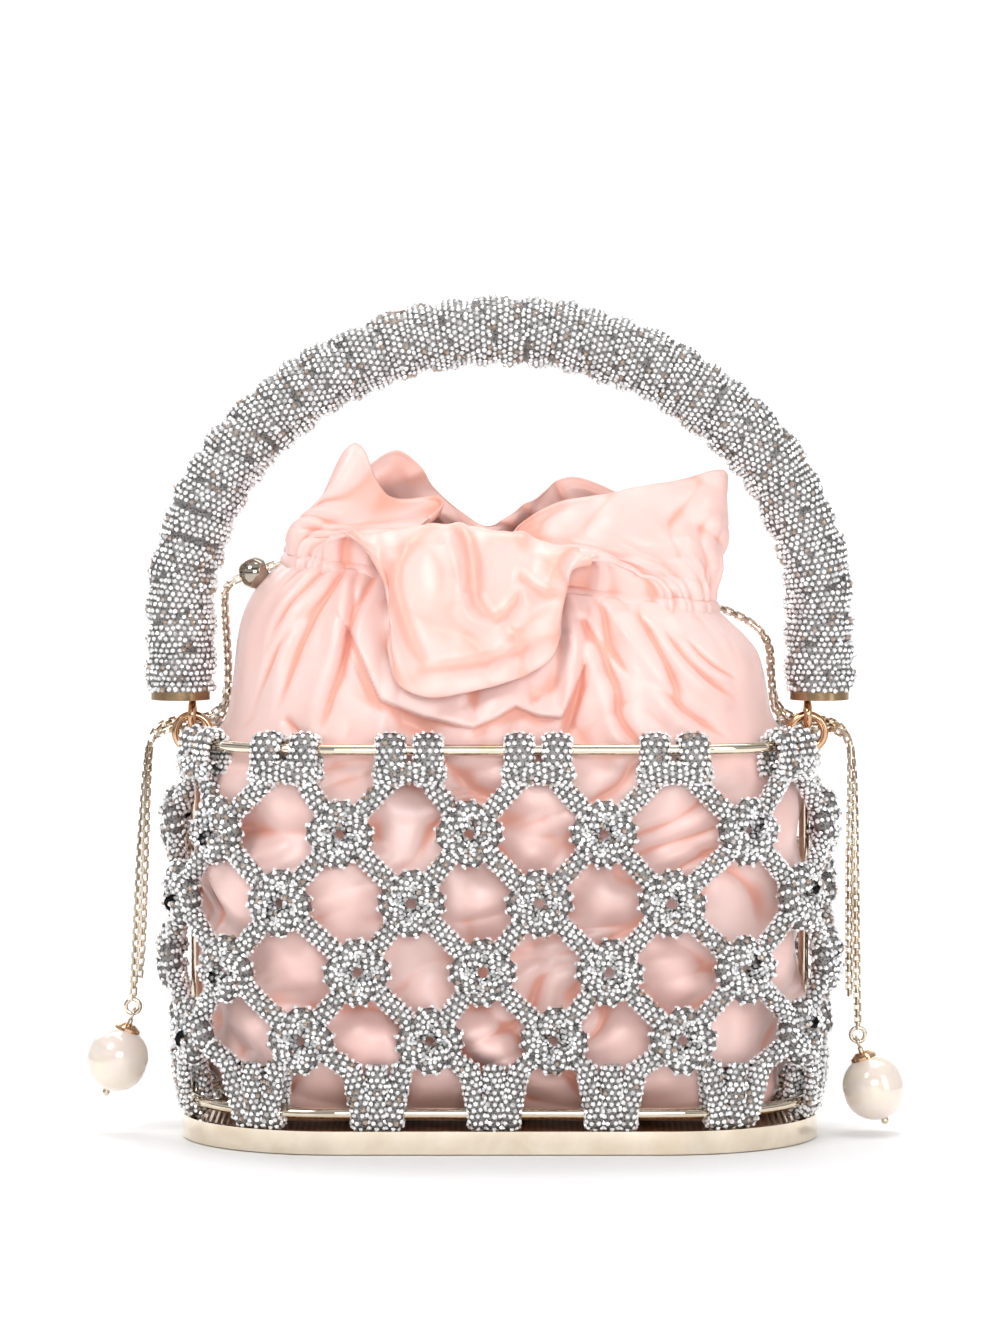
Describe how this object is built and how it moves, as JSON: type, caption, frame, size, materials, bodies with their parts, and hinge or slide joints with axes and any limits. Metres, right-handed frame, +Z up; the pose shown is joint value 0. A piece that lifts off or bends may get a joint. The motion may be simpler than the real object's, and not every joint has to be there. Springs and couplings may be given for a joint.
{
  "type": "flower girl basket",
  "caption": "Small stadium-shaped wire cage basket with a knotted crystal mesh net, satin drawstring pouch, swinging arch handle and chain drawstrings ending in pearls.",
  "frame": {"origin": "middle of the underside of the base band, on the surface it stands on", "axes": "+X to the right along the length of the base, -Y towards the front, +Z up"},
  "size_m": [0.2194, 0.0956, 0.2235],
  "materials": {
    "gold": "polished pale champagne gold plate",
    "gold_floor": "polished amber gold plate with fine ribs",
    "crystal_mesh": "dark mesh cord closely set with clear faceted stones",
    "satin": "pale pink satin, soft sheen",
    "pearl": "cream pearl lustre"
  },
  "bodies": {
    "frame": {"base_band": "gold", "base_plate": "gold_floor", "lower_ring": "gold", "upper_ring": "gold", "strut_left_front": "gold", "strut_left_back": "gold", "strut_right_front": "gold", "strut_right_back": "gold", "top_hitches": "crystal_mesh", "knot_row_1": "crystal_mesh", "knot_row_2": "crystal_mesh", "knot_row_3": "crystal_mesh", "knot_row_4": "crystal_mesh", "net_strands_1": "crystal_mesh", "net_strands_2": "crystal_mesh", "net_strands_3": "crystal_mesh", "net_strands_4": "crystal_mesh", "net_strands_5": "crystal_mesh", "bottom_wraps": "crystal_mesh", "hinge_loop_left": "gold", "hinge_loop_right": "gold", "pouch_body": "satin", "pouch_channel": "satin", "pouch_ruffle": "satin", "chain_left_upper_front": "gold", "chain_left_upper_back": "gold", "chain_right_upper_front": "gold", "chain_right_upper_back": "gold"},
    "handle": {"handle_core": "gold", "handle_wrap_crown": "crystal_mesh", "handle_wrap_left": "crystal_mesh", "handle_wrap_right": "crystal_mesh", "handle_cap_left": "gold", "handle_cap_right": "gold", "handle_eye_left": "gold", "handle_eye_right": "gold"},
    "stopper": {"stopper_ball": "gold"},
    "left_chain": {"chain_left_outer": "gold", "chain_left_inner": "gold", "chain_end_left": "gold"},
    "right_chain": {"chain_right_outer": "gold", "chain_right_inner": "gold", "chain_end_right": "gold"},
    "left_pearl": {"pearl_pin_left": "gold", "pearl_left": "pearl", "bead_cap_left": "gold"},
    "right_pearl": {"pearl_pin_right": "gold", "pearl_right": "pearl", "bead_cap_right": "gold"}
  },
  "joints": [
    {"name": "handle_swing", "type": "hinge", "parent": "frame", "child": "handle", "pos_m": [0, 0, 0.112], "axis": [1, 0, 0], "range_deg": [-40, 40]},
    {"name": "stopper_slide", "type": "slide", "parent": "frame", "child": "stopper", "axis": [-0.9231, 0, -0.3846], "range_m": [0, 0.0025]},
    {"name": "left_chain_swing", "type": "hinge", "parent": "frame", "child": "left_chain", "pos_m": [-0.093, 0, 0.1052], "axis": [0, 1, 0], "range_deg": [0, 60]},
    {"name": "right_chain_swing", "type": "hinge", "parent": "frame", "child": "right_chain", "pos_m": [0.093, 0, 0.1052], "axis": [0, -1, 0], "range_deg": [0, 60]},
    {"name": "left_pearl_swing", "type": "hinge", "parent": "left_chain", "child": "left_pearl", "pos_m": [-0.0982, 0, 0.032], "axis": [1, 0, 0], "range_deg": [-60, 60]},
    {"name": "right_pearl_swing", "type": "hinge", "parent": "right_chain", "child": "right_pearl", "pos_m": [0.0958, 0, 0.0244], "axis": [1, 0, 0], "range_deg": [-60, 60]}
  ]
}
